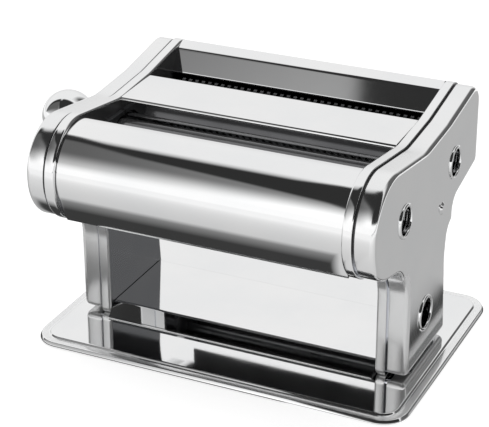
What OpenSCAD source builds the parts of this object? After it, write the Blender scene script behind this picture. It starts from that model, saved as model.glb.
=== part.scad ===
// Hand-cranked pasta machine: smooth sheeting rollers under the front slot,
// narrow cutting rollers under the rear slot, two hollow end frames on a
// pressed base. Millimetres. X runs across the machine with the cranks at +X,
// -Y is the front where the sheet goes in, and Z = 0 is the table.

/* [Base] */
// How far the base reaches beyond the outer covers
base_beyond = 11.4; // [9:0.1:16]
// Depth of the pressed base
base_d = 147; // [135:0.5:165]
// Corner radius of the base
base_corner_r = 15; // [10:0.5:20]
// Height of the raised centre of the base
base_top = 3.6; // [3.4:0.1:5]
// Sheet thickness of the base
base_sheet = 0.8; // [0.6:0.05:0.9]
// Width of the lower step round the rim
rim_shelf = 4.4; // [3:0.1:6]
// Height that the feet lift the rim off the table
foot_lift = 0.6; // [0.4:0.1:0.9]
// Radius of a rubber foot
foot_r = 6; // [4:0.25:8]

/* [Channel] */
// Height of the raised channel above the base
channel_h = 7.3; // [6:0.1:9]
// Front edge of the channel's top
channel_front = -29.5; // [-32:0.25:-26]
// Width of the channel's sloped front
channel_slope = 8.4; // [6:0.1:9]
// Rear edge of the channel
channel_rear = 25.4; // [18:0.2:26]
// Sheet thickness of the channel
channel_sheet = 1; // [0.8:0.05:1.2]
// Radius of the channel's folded edges
channel_r = 1.8; // [1.5:0.05:2.6]

/* [End frames] */
// Clear width between the two inner frames
dough_w = 156.4; // [148:0.2:160]
// Sheet thickness of the inner frames
frame_sheet = 1; // [0.8:0.05:1.2]
// Width of the bright flange of an inner frame
flange_w = 5.4; // [5:0.1:7]
// How far the flange stands proud of the outer cover
flange_proud = 0.8; // [0.5:0.05:1]
// Open seam between flange and outer cover
seam = 0.8; // [0.5:0.05:1.2]
// Width of an outer cover
cover_w = 10.9; // [10:0.1:12]
// Sheet thickness of an outer cover
cover_sheet = 1; // [0.8:0.05:1.2]
// Edge rounding of an outer cover
cover_round = 2.4; // [1.6:0.1:2.6]

/* [Side profile] */
// Radius of the rounded nose
nose_r = 26.85; // [26:0.05:28]
// Front to back place of the nose centre
nose_y = -59.3; // [-61:0.1:-58]
// Height of the nose centre
nose_z = 105; // [104:0.1:106]
// Front edge of the pillar
pillar_front = -34.2; // [-37:0.1:-33]
// Rear edge of the pillar at its waist
pillar_waist = 22; // [20:0.1:23]
// Rear edge of the pillar at its foot
pillar_rear = 27; // [25:0.1:29]
// Height of the lowest part of the top edge
dip_z = 125.7; // [125:0.1:127]
// Rear end of the head
tail_y = 68.7; // [67:0.1:71]
// Height of the rear end of the head
tail_z = 135.9; // [135:0.1:138]

/* [Sheeting rollers] */
// Radius of the smooth rollers
roller_r = 12.32; // [11.8:0.01:12.5]
// Gap between the rollers at the middle setting
roller_gap = 1.3; // [1.25:0.01:1.5]
// Travel of the rear roller to each side of the middle setting
roller_travel = 1.18; // [0.8:0.01:1.2]
// Radius of the driven shafts
drive_r = 6; // [5.5:0.1:6.5]
// Radius of the rear roller's journals
journal_r = 5; // [4.5:0.1:5.5]
// Teeth on each sheeting gear
roller_teeth = 12; // [12:1:14]

/* [Cutting rollers] */
// Distance between the cutting roller axes
cutter_gap = 20; // [19.5:0.1:20.5]
// Width of one noodle
noodle_w = 2; // [1.6:0.1:3]
// Depth to which the cutting rings pass each other
cutter_mesh = 1.2; // [0.8:0.05:1.5]
// Radius of the follower shaft
follow_r = 4.5; // [4:0.1:5]
// Teeth on each cutting gear
cutter_teeth = 12; // [12:1:14]

/* [Crank sockets] */
// Radius of the socket for the crank
socket_r = 4; // [3:0.05:4.5]
// Depth of the socket
socket_depth = 13; // [10:0.5:16]
// Radius of the openings for the crank
crank_hole_r = 7.25; // [6.8:0.05:8]
// Radius of the lower locating hole
locating_r = 8; // [7:0.1:9]

/* [Setting knob] */
// Radius of the domed knob
knob_r = 14.5; // [13.5:0.1:16]
// Radius of the knob's neck
knob_neck_r = 10.5; // [10:0.1:12]
// Distance that the knob pulls out to change the setting
knob_pull = 4; // [3:0.1:4.5]
// Radius of the setting shaft
setting_r = 3.5; // [3:0.05:3.8]
// Settings on the dial
setting_count = 9; // [7:1:9]

/* [Hidden] */
$fn = 72;

// clearances
over = 0.5;             // overrun of a cut past the face it opens
run_fit = 0.05;         // radial running clearance
end_gap = 0.3;          // clearance between a turning face and a fixed one
play = 0.25;            // sideways play of the cam in its slot

// stations across the machine, measured from the middle
x_in = dough_w / 2;
x_back = x_in + frame_sheet;
x_flange = x_in + flange_w;
x_seam = x_flange + seam;
x_out = x_seam + cover_w;
x_inside = x_out - cover_sheet;
lip_w = 1.5;            // length of the lip that carries the cover
x_lip = x_seam + lip_w;
base_w = 2 * (x_out + base_beyond);

// side view of the head and pillars
skirt_gap = 2;          // cover edge above the base
foot_step = 0.6;        // taper of the pillar's front edge
throat_z = 70.3;        // corner between pillar and chin
throat_r = 25;
chin_sink = 1.2;        // chin line below its touch with the nose
// height over the centre of a circle r, at its front, of the line from d that touches it
function tangent_rise(d, r, side) =
    let(n = toward(atan2(d[1], d[0]) + side * acos(r / norm(d)))) r * (1 + n[0]) / n[1];
dip_y = -14;
dip_r = 40;
rise_y = 20;
rise_z = tail_z - 7.8;
tail_r = 9;
tail_low = tail_z - 47.5;       // underside of the head at its rear end
shoulder_out = 9.2;     // rear shoulder of the pillar behind its waist
shoulder_top = tail_low - 8.3;
shoulder_low = tail_low - 19;
shoulder_r = 8;
armpit_out = 2.5;
armpit_z = tail_low - 22;
waist_z = armpit_z - 14;
// corner heights from the nose centre of the lines that touch the nose from above and below
brow_rise = tangent_rise([dip_y - nose_y, dip_z - nose_z], nose_r, 1);
chin_drop = chin_sink - tangent_rise([pillar_front - nose_y, throat_z - nose_z + chin_sink], nose_r, -1);
heel_r = 4.5;
small_r = 3.5;
foot_front = pillar_front + foot_step;

// corners of the side view, each [y, z, corner radius]
function profile(bottom) = [
    [foot_front, bottom, small_r],
    [pillar_front, throat_z, throat_r],
    [nose_y - nose_r, nose_z - chin_drop, nose_r],
    [nose_y - nose_r, nose_z + brow_rise, nose_r],
    [dip_y, dip_z, dip_r],
    [rise_y, rise_z, dip_r],
    [tail_y, tail_z, tail_r],
    [tail_y, tail_low, heel_r],
    [pillar_waist + shoulder_out, shoulder_top, shoulder_r],
    [pillar_waist + shoulder_out, shoulder_low, small_r],
    [pillar_waist + armpit_out, armpit_z, shoulder_r],
    [pillar_waist, waist_z, dip_r],
    [pillar_rear, bottom, small_r]];
arc_step = 10;          // degrees between points of a rounded corner

function unit(v) = v / norm(v);
function left_of(a, b) = let(u = unit(b - a)) [-u[1], u[0]];
function flat(q) = [q[0], q[1]];

// points of the arc that rounds the corner q between p and s
function corner(p, q, s) =
    let(u = unit(flat(p) - flat(q)), v = unit(flat(s) - flat(q)),
        half = acos(u * v) / 2,
        centre = flat(q) + unit(u + v) * q[2] / sin(half),
        start = flat(q) + u * q[2] / tan(half) - centre,
        from = atan2(start[1], start[0]),
        sweep = (180 - 2 * half) * sign(cross(-u, v)),
        n = max(2, ceil(abs(sweep) / arc_step)))
    [for (k = [0:n]) centre + q[2] * [cos(from + sweep * k / n), sin(from + sweep * k / n)]];

// closed outline and open path through rounded corners
function rounded(c) = let(n = len(c))
    [for (i = [0:n - 1]) each corner(c[(i + n - 1) % n], c[i], c[(i + 1) % n])];
function bent(c) = let(n = len(c))
    [flat(c[0]), for (i = [1:n - 2]) each corner(c[i - 1], c[i], c[i + 1]), flat(c[n - 1])];

// closed clockwise outline moved outward by d
function mitre(a, b) = (a + b) / (1 + a * b);
function grow(p, d) = let(n = len(p))
    [for (i = [0:n - 1]) p[i] + d * mitre(left_of(p[(i + n - 1) % n], p[i]), left_of(p[i], p[(i + 1) % n]))];

// sheet of thickness t to the left of an open path
function beside(p, t) = let(n = len(p))
    [for (i = [0:n - 1]) p[i] + t * (i == 0 ? left_of(p[0], p[1])
        : i == n - 1 ? left_of(p[n - 2], p[n - 1])
        : mitre(left_of(p[i - 1], p[i]), left_of(p[i], p[i + 1])))];
function ribbon(p, t) = let(q = beside(p, t), n = len(q))
    concat(p, [for (i = [n - 1:-1:0]) q[i]]);
function arc(c, r, a0, a1, n) =
    [for (k = [0:n]) let(a = a0 + (a1 - a0) * k / n) c + r * [cos(a), sin(a)]];
function toward(a) = [cos(a), sin(a)];

cover_line = rounded(profile(base_top + skirt_gap));
frame_line = rounded(profile(base_top + flange_proud));

// places in the side view
roller_back = 15;       // front roller axis behind the nose centre
roller_drop = 4.2;
roller_tilt = 6;        // degrees that the roller pair leans
cutter_inset = 38.2;    // front cutter axis before the rear end
cutter_drop = 33.6;     // and below the height of the rear end
cutter_tilt = 19;       // degrees that the cutter pair leans
roller_pitch = 2 * roller_r + roller_gap;
front_axis = [nose_y + roller_back, nose_z - roller_drop];
rear_axis = front_axis + roller_pitch * toward(roller_tilt);
cutter_axis = [tail_y - cutter_inset, tail_z - cutter_drop];
rear_cutter_axis = cutter_axis + cutter_gap * toward(cutter_tilt);
knob_lift = 7.7;        // setting shaft axis from the rear roller axis
knob_lean = 65;         // degrees
knob_axis = rear_axis + knob_lift * toward(knob_lean);
cover_screw_at = [11.9, 83.6];
locating_at = [-7.4, 31.6];

// cutting roller radii
cutter_r = (cutter_gap + cutter_mesh) / 2;
groove_gap = 0.2;       // ring tip to groove bottom
groove_r = cutter_gap - cutter_r - groove_gap;
ring_side = 0.05;       // side clearance of a ring in its groove

// scrapers, combs and the rods that carry them
rod_r = 3;
sleeve_t = 1;           // wall of a blade's rolled sleeve
blade_t = 0.8;
blade_gap = 0.25;       // blade face to roller
blade_reach = 15.5;     // blade edge to rod centre
comb_reach = 14;
front_blade_a = -60;    // degrees round the roller where a blade touches
rear_blade_a = -120;
front_comb_a = -60;
rear_comb_a = -100;
function blade_tip(axis, r, a) = axis + (r + blade_gap + blade_t / 2) * toward(a);
function blade_rod(axis, r, a, reach, way) = blade_tip(axis, r, a) + reach * toward(a + way);
front_rod = blade_rod(front_axis, roller_r, front_blade_a, blade_reach, -90);
carriage_rod = blade_rod(rear_axis, roller_r, rear_blade_a, blade_reach, 90);
comb_rod = blade_rod(cutter_axis, groove_r, front_comb_a, comb_reach, -90);
rear_comb_rod = blade_rod(rear_cutter_axis, groove_r, rear_comb_a, comb_reach, 90);
nose_rod_out = 12.7;
nose_rod_up = 5;
nose_rod = [nose_y - nose_rod_out, nose_z + nose_rod_up];
rod_places = [front_rod, comb_rod, rear_comb_rod, nose_rod];
nut_t = 3;
nut_r = 4.8;

// overall place of the machine in its frame: middle of its box over the origin
knob_out = 15.3;        // centre of the knob's dome from the cover
reach_left = x_out + knob_out + knob_r;
reach_front = nose_r - nose_y + flange_proud;
shift_x = (reach_left - base_w / 2) / 2;
shift_y = (reach_front - base_d / 2) / 2;

steel = "#c8cbd0";
bright = "#dfe2e6";
dark_steel = "#7d8288";
brass = "#b89a52";
rubber = "#222222";

module machine() translate([shift_x, shift_y, 0]) children();
module left() mirror([1, 0, 0]) children();
module along(x0, x1) translate([x0, 0, 0]) rotate([90, 0, 90]) linear_extrude(height = x1 - x0) children();
module rod(x0, x1, r, at) translate([x0, at[0], at[1]]) rotate([0, 90, 0]) cylinder(h = x1 - x0, r = r);
module tube(x0, x1, r, bore, at) difference() {
    rod(x0, x1, r, at);
    rod(x0 - over, x1 + over, bore, at);
}
module hex(x0, x1, r, at) translate([x0, at[0], at[1]]) rotate([0, 90, 0]) cylinder(h = x1 - x0, r = r, $fn = 6);

// skin through closed loops of equal length, clockwise seen from the last one;
// a closed skin joins the last loop to the first, an open one has two flat ends
function band(a, b, n) = [for (i = [0:n - 1]) let(j = (i + 1) % n)
    each [[a + i, a + j, b + j], [a + i, b + j, b + i]]];
module loft(loops, closed = false) {
    n = len(loops[0]);
    m = len(loops);
    polyhedron(points = [for (l = loops) each l],
        faces = [for (s = [0:m - (closed ? 1 : 2)]) each band(s * n, (s + 1) % m * n, n),
            if (!closed) each [[for (i = [n - 1:-1:0]) i], [for (i = [0:n - 1]) (m - 1) * n + i]]]);
}

// two round pads joined by a web, in the side view
module link(a, b, ra, rb, web) {
    w = left_of(a, b) * web;
    translate(a) circle(r = ra);
    translate(b) circle(r = rb);
    polygon([a - w, a + w, b + w, b - w]);
}

// Base

rim_r = 1;              // rounding of the base's outer edge
rim_edge = 1;           // height of the vertical outer edge
rim_slope = 1.1;        // width of the slope from shelf to raised centre
rim_slope_shares = [0, 0.3, 0.6, 1];            // across the slope
rim_height_shares = [0, 0.35, 0.8, 1];          // up the slope
rim_turn = 30;          // degrees between sections of the rounded edge
function base_outline(inset, z) =
    let(x = base_w / 2 - inset, y = base_d / 2 - inset, r = base_corner_r - inset)
    [for (p = rounded([[-x, -y, r], [-x, y, r], [x, y, r], [x, -y, r]])) [p[0], p[1], z]];
// sections of the pressed rim for a skin that lies t inside the outer one
function rim_sections(t) =
    let(shelf_z = foot_lift + rim_edge + rim_r - t, top = base_top - t, in = rim_r + rim_shelf)
    [base_outline(t, foot_lift - (t > 0 ? over : 0)),
        for (a = [0:rim_turn:90]) base_outline(rim_r - (rim_r - t) * cos(a),
            foot_lift + rim_edge + (rim_r - t) * sin(a)),
        for (k = [0:len(rim_slope_shares) - 1])
            base_outline(in + t + rim_slope * rim_slope_shares[k], shelf_z + (top - shelf_z) * rim_height_shares[k])];
module base_skin(t) loft(rim_sections(t));

foot_inset = 14;        // foot centres from the base's edges
foot_places = [for (x = [-1, 1], y = [-1, 1]) [x * (base_w / 2 - foot_inset), y * (base_d / 2 - foot_inset)]];
base_under = base_top - base_sheet;

// screws that hold the pillars down
screw_r = 1.5;
screw_head_r = 2.9;
screw_head_t = 1.6;
screw_nut_r = 3.1;
screw_nut_t = 2.4;
screw_tail = 1;
screw_in = 3.5;         // screw axis inside the cover's face
screw_end = 14;         // screw axis from the pillar's edge
x_screw = x_inside - screw_in;
screw_places = [for (x = [-1, 1], y = [foot_front + screw_end, pillar_rear - screw_end]) [x * x_screw, y]];
tab_top = base_top + frame_sheet;

module base_plate() color(steel) machine() difference() {
    base_skin(0);
    base_skin(base_sheet);
    for (p = screw_places) translate([p[0], p[1], 0]) cylinder(h = base_top + over, r = screw_r);
}

module rubber_feet() color(rubber) machine()
    for (p = foot_places) translate([p[0], p[1], 0]) cylinder(h = base_under, r = foot_r);

channel_foot_r = 1.1;   // tighter fold at the feet
channel_flange = 8;     // feet folded in under the channel
channel_top = base_top + channel_h;
channel_path = [[channel_front - channel_slope + channel_flange, base_top, 0],
    [channel_front - channel_slope, base_top, channel_foot_r], [channel_front, channel_top, channel_r],
    [channel_rear, channel_top, channel_r], [channel_rear, base_top, channel_foot_r],
    [channel_rear - channel_flange, base_top, 0]];
module cross_channel() color(bright) machine()
    along(-x_in, x_in) polygon(ribbon(bent(channel_path), -channel_sheet));

module base_screws() color(dark_steel) machine() for (p = screw_places) translate([p[0], p[1], 0]) {
    translate([0, 0, base_under - screw_head_t]) cylinder(h = screw_head_t, r = screw_head_r);
    translate([0, 0, base_under - screw_head_t]) cylinder(h = tab_top + screw_nut_t + screw_tail
        - base_under + screw_head_t, r = screw_r);
    translate([0, 0, tab_top]) rotate(30) cylinder(h = screw_nut_t, r = screw_nut_r, $fn = 6);
}

// End frames

bush_t = 2;             // wall of a bearing bush
bush_flange = 1.6;      // how far a bush's flange stands out round it
bush_flange_t = 1.2;
bush_len = 3;           // bush beyond the inner frame
hub_t = 2.5;            // wall of the block's hub in the frame's slot
hub_r = journal_r + hub_t;
rod_slot = 0.3;         // clearance of the carriage bar in the frame
slot_end = roller_travel + end_gap;

module slot(at, r) {
    u = toward(roller_tilt) * slot_end;
    link(at - u, at + u, r, r, r);
}
module frame_holes() {
    for (p = [front_axis, cutter_axis]) translate(p) circle(r = drive_r + bush_t);
    translate(rear_cutter_axis) circle(r = follow_r + bush_t);
    slot(rear_axis, hub_r + run_fit);
    slot(carriage_rod, rod_r + rod_slot);
    for (p = rod_places) translate(p) circle(r = rod_r);
}
module outline(line, d) polygon(grow(line, d));
module frame_tab() for (p = screw_places) if (p[0] > 0) translate([x_in, foot_front + small_r, base_top])
    cube([x_inside - end_gap - x_in, pillar_rear - foot_front - 2 * small_r, frame_sheet]);
module inner_frame() difference() {
    union() {
        along(x_in, x_back) difference() {
            outline(frame_line, flange_proud);
            frame_holes();
        }
        along(x_in, x_flange) difference() {
            outline(frame_line, flange_proud);
            outline(frame_line, flange_proud - frame_sheet);
        }
        along(x_flange - frame_sheet, x_flange) difference() {
            outline(frame_line, flange_proud);
            outline(cover_line, -cover_sheet - frame_sheet);
        }
        along(x_flange - frame_sheet, x_lip) difference() {
            outline(cover_line, -cover_sheet);
            outline(cover_line, -cover_sheet - frame_sheet);
        }
        frame_tab();
    }
    for (p = screw_places) translate([p[0], p[1], 0]) cylinder(h = tab_top + over, r = screw_r);
}

round_turn = 22.5;      // degrees between sections of the cover's rounding
// section of the cover's drawn edge, as [station, distance inside the outline]
cover_stations = [[x_seam, 0], for (a = [0:round_turn:90])
    [x_out - cover_round * (1 - sin(a)), cover_round * (1 - cos(a))],
    [x_inside, cover_round], [x_inside, cover_sheet], [x_seam, cover_sheet]];
module cover_shell() difference() {
    union() {
        loft([for (s = cover_stations) [for (p = grow(cover_line, -s[1])) [s[0], p[0], p[1]]]], closed = true);
        along(x_inside, x_out) outline(cover_line, -cover_round);
    }
    translate([x_seam - over, foot_front + small_r, base_top])
        cube([x_inside - end_gap - x_seam + over, pillar_rear - foot_front - 2 * small_r, skirt_gap + 2 * cover_sheet]);
    rod(x_inside - over, x_out + over, shank_r, cover_screw_at);
}

ring_t = 0.8;           // wall of the rolled ring in a hole
ring_bead = 1;          // radius of the ring's outer bead
ring_len = 2;           // ring inside the cover's face
ring_holes = [[crank_hole_r, front_axis], [crank_hole_r, cutter_axis], [locating_r, locating_at]];

module left_inner_frame() color(bright) machine() left() inner_frame();
module right_inner_frame() color(bright) machine() inner_frame();
module right_outer_cover() color(steel) machine() difference() {
    cover_shell();
    for (h = ring_holes) rod(x_inside - over, x_out + over, h[0] + ring_t, h[1]);
}
module left_outer_cover() color(steel) machine() left() difference() {
    cover_shell();
    rod(x_inside - over, x_out + over, bush_r, knob_axis);
}

module hole_ring(r) rotate([0, 90, 0]) rotate_extrude() {
    translate([r, -ring_len]) square([ring_t, ring_len]);
    intersection() {
        translate([r + ring_bead, 0]) circle(r = ring_bead);
        translate([r, 0]) square([2 * ring_bead, ring_bead]);
    }
}
module hole_rings() color(bright) machine()
    for (h = ring_holes) translate([x_out, h[1][0], h[1][1]]) hole_ring(h[0]);

shank_r = 1.6;
stud_r = 3;
screw_dome_r = 3.5;
screw_dome_t = 1.1;
screw_dome_top = 2.4;
module cover_screw() {
    rod(x_back, x_inside, stud_r, cover_screw_at);
    rod(x_inside, x_out, shank_r, cover_screw_at);
    translate([x_out, cover_screw_at[0], cover_screw_at[1]]) rotate([0, 90, 0])
        cylinder(h = screw_dome_t, r1 = screw_dome_r, r2 = screw_dome_top);
}
module cover_screws() color(bright) machine() {
    cover_screw();
    left() cover_screw();
}

module tie_rods() color(dark_steel) machine()
    for (p = rod_places) rod(-x_back - nut_t - screw_tail, x_back + nut_t + screw_tail, rod_r, p);
module tie_nut() for (p = rod_places) difference() {
    hex(x_back, x_back + nut_t, nut_r, p);
    rod(x_back - over, x_back + nut_t + over, rod_r, p);
}
module tie_nuts() color(dark_steel) machine() {
    tie_nut();
    left() tie_nut();
}

// Sheet metal of the head

head_sheet = 0.8;
front_step = 0.65;      // the flange stands this much proud of the front cover
front_cover_r = nose_r + flange_proud - front_step;
front_cover_a0 = 45;    // degrees, rear edge at the slot
front_cover_a1 = 241;   // degrees, lower bend
front_cover_steps = 40;
front_lip = 2.2;
fold_drop = 8;
fold_lean = 2.3;
nose_at = [nose_y, nose_z];
front_edge = nose_at + front_cover_r * toward(front_cover_a0);
front_cover_path = [front_edge + [fold_lean, -fold_drop],
    each arc(nose_at, front_cover_r, front_cover_a0, front_cover_a1, front_cover_steps),
    nose_at + (front_cover_r + front_lip) * toward(front_cover_a1)];

tray_before = 0.7;      // tray's front edge before the dip
tray_after = 0.6;       // tray's rear edge before the rise
tray_up = 0.8;          // tray's face above the dip of the covers
tray_front_lip = 9;
tray_rear_lip = 7;
tray_r = 1;
tray_front = dip_y - tray_before;
tray_rear = rise_y - tray_after;
tray_high = tail_z - 8.3;       // height of the tray's rear edge
tray_path = [[tray_rear, tray_high - tray_rear_lip, 0], [tray_rear, tray_high, tray_r],
    [tray_front, dip_z + tray_up, tray_r], [tray_front, dip_z + tray_up - tray_front_lip, 0]];

rail_r = 5;             // radius of the rolled rail
rail_in = 9;            // rail centre before the rear end
rail_down = 6;
guide_low = [-14.7, -9.4];      // guide plate's edges from the rail centre
guide_high = [-8.6, -0.3];
shelf_in = 5.6;         // groove between guide plate and rail
rail_a0 = 168;          // degrees
rail_a1 = -8;
rail_steps = 22;
panel_in = 2.1;         // rear panel inside the rear end
panel_drop = 10.9;      // panel's lower edge below the head's underside
rail_at = [tail_y - rail_in, tail_z - rail_down];
rear_cover_path = [rail_at + guide_low, rail_at + guide_high, rail_at + [-shelf_in, guide_high[1]],
    each arc(rail_at, rail_r, rail_a0, rail_a1, rail_steps),
    [tail_y - panel_in, rail_at[1] - 2 * rail_r], [tail_y - panel_in, tail_low - panel_drop]];

module front_cover() color(bright) machine()
    along(-x_in, x_in) polygon(ribbon(front_cover_path, head_sheet));
module tray() color(bright) machine()
    along(-x_in, x_in) polygon(ribbon(bent(tray_path), head_sheet));
module rear_cover() color(bright) machine()
    along(-x_in, x_in) polygon(ribbon(rear_cover_path, -head_sheet));

guide_t = 2.5;
guide_top = 6.2;        // guide's top edge below the dip of the covers
guide_gap = 0.4;        // guide to roller
guide_front = front_edge[0] + fold_lean + end_gap;
guide_rear = tray_front - end_gap;
guide_foot = 4;         // lowest point of a guide above the front axis
guide_taper = 6;
module dough_guide() along(x_in - guide_t, x_in) difference() {
    polygon([[guide_front, front_axis[1] + roller_r], [guide_front, dip_z - guide_top],
        [guide_rear, dip_z - guide_top], [guide_rear, rear_axis[1] + roller_r],
        [(front_axis[0] + rear_axis[0]) / 2 + guide_taper / 2, front_axis[1] + guide_foot],
        [(front_axis[0] + rear_axis[0]) / 2 - guide_taper / 2, front_axis[1] + guide_foot]]);
    translate(front_axis) circle(r = roller_r + guide_gap);
    translate(rear_axis) circle(r = roller_r + roller_travel + guide_gap);
}
module dough_guides() color(steel) machine() {
    dough_guide();
    left() dough_guide();
}

// Gears

pressure = 20;          // degrees
flank_steps = 4;
gear_w = 6.5;
x_gear = x_flange + end_gap;
function inv(a) = tan(a) * 180 / PI - a;
// one flank of an involute tooth, as [radius, half angle], root to tip
function flank(pitch_r, tip_r, root_r, thick) =
    let(base_r = pitch_r * cos(pressure), low = max(base_r, root_r),
        mid = thick / (2 * pitch_r) * 180 / PI + inv(pressure))
    [[root_r, mid], for (k = [0:flank_steps]) let(r = low + (tip_r - low) * k / flank_steps)
        [r, mid - inv(acos(min(1, base_r / r)))]];
module gear(teeth, pitch_r, tip_r, root_r, thick, phase) {
    f = flank(pitch_r, tip_r, root_r, thick);
    n = len(f);
    polygon([for (k = [0:teeth - 1]) let(c = phase + 360 * k / teeth)
        each [for (i = [0:2 * n - 1]) let(q = f[i < n ? i : 2 * n - 1 - i]) q[0] * toward(c + (i < n ? -q[1] : q[1]))]]);
}
module gear_on(at, bore, teeth, pitch_r, tip_r, root_r, thick, phase) difference() {
    translate([0, at[0], at[1]]) along(x_gear, x_gear + gear_w)
        gear(teeth, pitch_r, tip_r, root_r, thick, phase);
    rod(x_gear - over, x_gear + gear_w + over, bore, at);
}

roller_addendum = 1.5;
roller_dedendum = 3.0;
roller_backlash = 1.2;  // lets the mesh open and close with the setting
cutter_addendum = 1.4;
cutter_dedendum = 1.9;
cutter_backlash = 0.3;
module roller_gear(at, bore, phase) gear_on(at, bore, roller_teeth, roller_pitch / 2,
    roller_pitch / 2 + roller_addendum, roller_pitch / 2 - roller_dedendum,
    PI * roller_pitch / 2 / roller_teeth - roller_backlash / 2, phase);
module cutter_gear(at, bore, phase) gear_on(at, bore, cutter_teeth, cutter_gap / 2,
    cutter_gap / 2 + cutter_addendum, cutter_gap / 2 - cutter_dedendum,
    PI * cutter_gap / 2 / cutter_teeth - cutter_backlash / 2, phase);
function facing(tilt, teeth) = tilt + 180 + 180 / teeth;

module front_roller_gear() color(dark_steel) machine() roller_gear(front_axis, drive_r, roller_tilt);
module rear_roller_gear() color(dark_steel) machine()
    roller_gear(rear_axis, journal_r, facing(roller_tilt, roller_teeth));
module front_cutter_gear() color(dark_steel) machine() cutter_gear(cutter_axis, drive_r, cutter_tilt);
module rear_cutter_gear() color(dark_steel) machine()
    cutter_gear(rear_cutter_axis, follow_r, facing(cutter_tilt, cutter_teeth));

// Rollers

socket_back = 1.5;      // shaft end inside the cover's sheet
socket_slot = 2;        // cross slot that the crank's key engages
socket_slot_t = 3;
x_socket = x_inside - socket_back;
x_drum = x_in - end_gap;
journal_end = x_back + bush_len + screw_tail;
module socket(at) {
    rod(x_socket - socket_depth, x_socket + over, socket_r, at);
    translate([x_socket - socket_slot_t, at[0] - socket_slot / 2, at[1] - drive_r - over])
        cube([socket_slot_t + over, socket_slot, 2 * (drive_r + over)]);
}
module front_roller() color(bright) machine() difference() {
    union() {
        rod(-x_drum, x_drum, roller_r, front_axis);
        rod(-journal_end, x_socket, drive_r, front_axis);
    }
    socket(front_axis);
}
module rear_roller() color(bright) machine() {
    rod(-x_drum, x_drum, roller_r, rear_axis);
    rod(-x_block, x_gear + gear_w + screw_tail, journal_r, rear_axis);
}

rings = floor((dough_w - 2 * guide_t) / noodle_w / 4) * 2 - 1;
function ring_x(k, n) = (k - (n - 1) / 2) * 2 * noodle_w;
// ringed drum, as [radius, station] round the X axis
module cutter_drum(n) rotate([0, 90, 0]) rotate_extrude() polygon([[0, -x_drum], [groove_r, -x_drum],
    for (k = [0:n - 1]) let(a = ring_x(k, n) - noodle_w / 2 + ring_side, b = a + noodle_w - 2 * ring_side)
        each [[groove_r, a], [cutter_r, a], [cutter_r, b], [groove_r, b]],
    [groove_r, x_drum], [0, x_drum]]);
module front_cutter() color(steel) machine() difference() {
    union() {
        translate([0, cutter_axis[0], cutter_axis[1]]) cutter_drum(rings);
        rod(-journal_end, x_socket, drive_r, cutter_axis);
    }
    socket(cutter_axis);
}
module rear_cutter() color(steel) machine() {
    translate([0, rear_cutter_axis[0], rear_cutter_axis[1]]) cutter_drum(rings + 1);
    rod(-journal_end, x_gear + gear_w + screw_tail, follow_r, rear_cutter_axis);
}

module bush(at, r) {
    tube(x_in, x_back + bush_len, r + bush_t, r + run_fit, at);
    tube(x_back, x_back + bush_flange_t, r + bush_t + bush_flange, r + bush_t, at);
}
module roller_bushes() color(brass) machine() {
    bush(front_axis, drive_r);
    left() bush(front_axis, drive_r);
}
module cutter_pair_bushes() {
    bush(cutter_axis, drive_r);
    bush(rear_cutter_axis, follow_r);
}
module cutter_bushes() color(brass) machine() {
    cutter_pair_bushes();
    left() cutter_pair_bushes();
}

// Carriage of the rear roller

block_t = 4;
block_r = 9;
boss_r = 6;
block_web = 4.5;
x_block0 = x_back + end_gap;
x_block = x_block0 + block_t;
cam_t = 4.2;
cam_r = 4.8;
cam_wall = 3;
module block() {
    along(x_block0, x_block) difference() {
        link(rear_axis, carriage_rod, block_r, boss_r, block_web);
        translate(rear_axis) circle(r = journal_r + run_fit);
        translate(carriage_rod) circle(r = rod_r);
    }
    tube(x_in, x_block0, hub_r, journal_r + run_fit, rear_axis);
}
// the cam's slot stands square to the carriage's travel
module cam_slot(r) {
    v = toward(roller_tilt + 90) * roller_travel;
    link(knob_axis - v, knob_axis + v, r, r, r);
}
module right_bearing_block() color(dark_steel) machine() block();
module left_bearing_block() color(dark_steel) machine() left() {
    block();
    along(x_block, x_block + cam_t) difference() {
        cam_slot(cam_r + play + cam_wall);
        cam_slot(cam_r + play);
    }
}
module carriage_bar() color(dark_steel) machine() rod(-x_block, x_block, rod_r, carriage_rod);

// flat blade from a roller to a rolled sleeve round its rod
module blade(tip, at) {
    u = unit(at - tip);
    w = left_of(tip, at) * blade_t / 2;
    end = at - u * (rod_r + sleeve_t / 2);
    polygon([tip - w, tip + w, end + w, end - w]);
}
module sleeve(at) difference() {
    translate(at) circle(r = rod_r + sleeve_t);
    translate(at) circle(r = rod_r);
}
module scraper(axis, r, a, at) {
    along(-x_drum, x_drum) blade(blade_tip(axis, r, a), at);
    along(-x_drum, x_drum) sleeve(at);
}
module front_scraper() color(steel) machine() scraper(front_axis, roller_r, front_blade_a, front_rod);
module rear_scraper() color(steel) machine() scraper(rear_axis, roller_r, rear_blade_a, carriage_rod);

// comb: fingers in the grooves, joined below the rings
finger_side = 0.3;      // side clearance of a finger in its groove
finger_w = noodle_w - 2 * finger_side;
ring_gap = 0.5;         // comb's joined part to the rings
module comb(axis, a, at, n) {
    tip = blade_tip(axis, groove_r, a);
    u = unit(at - tip);
    root = tip + u * sqrt(pow(cutter_r + ring_gap, 2) - pow(groove_r + blade_gap, 2));
    along(-x_drum, x_drum) {
        blade(root, at);
        sleeve(at);
    }
    for (k = [0:n - 1]) along(ring_x(k, n) - finger_w / 2, ring_x(k, n) + finger_w / 2)
        blade(tip, at);
}
module front_comb() color(steel) machine() comb(cutter_axis, front_comb_a, comb_rod, rings - 1);
module rear_comb() color(steel) machine() comb(rear_cutter_axis, rear_comb_a, rear_comb_rod, rings);

// Setting knob

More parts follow.
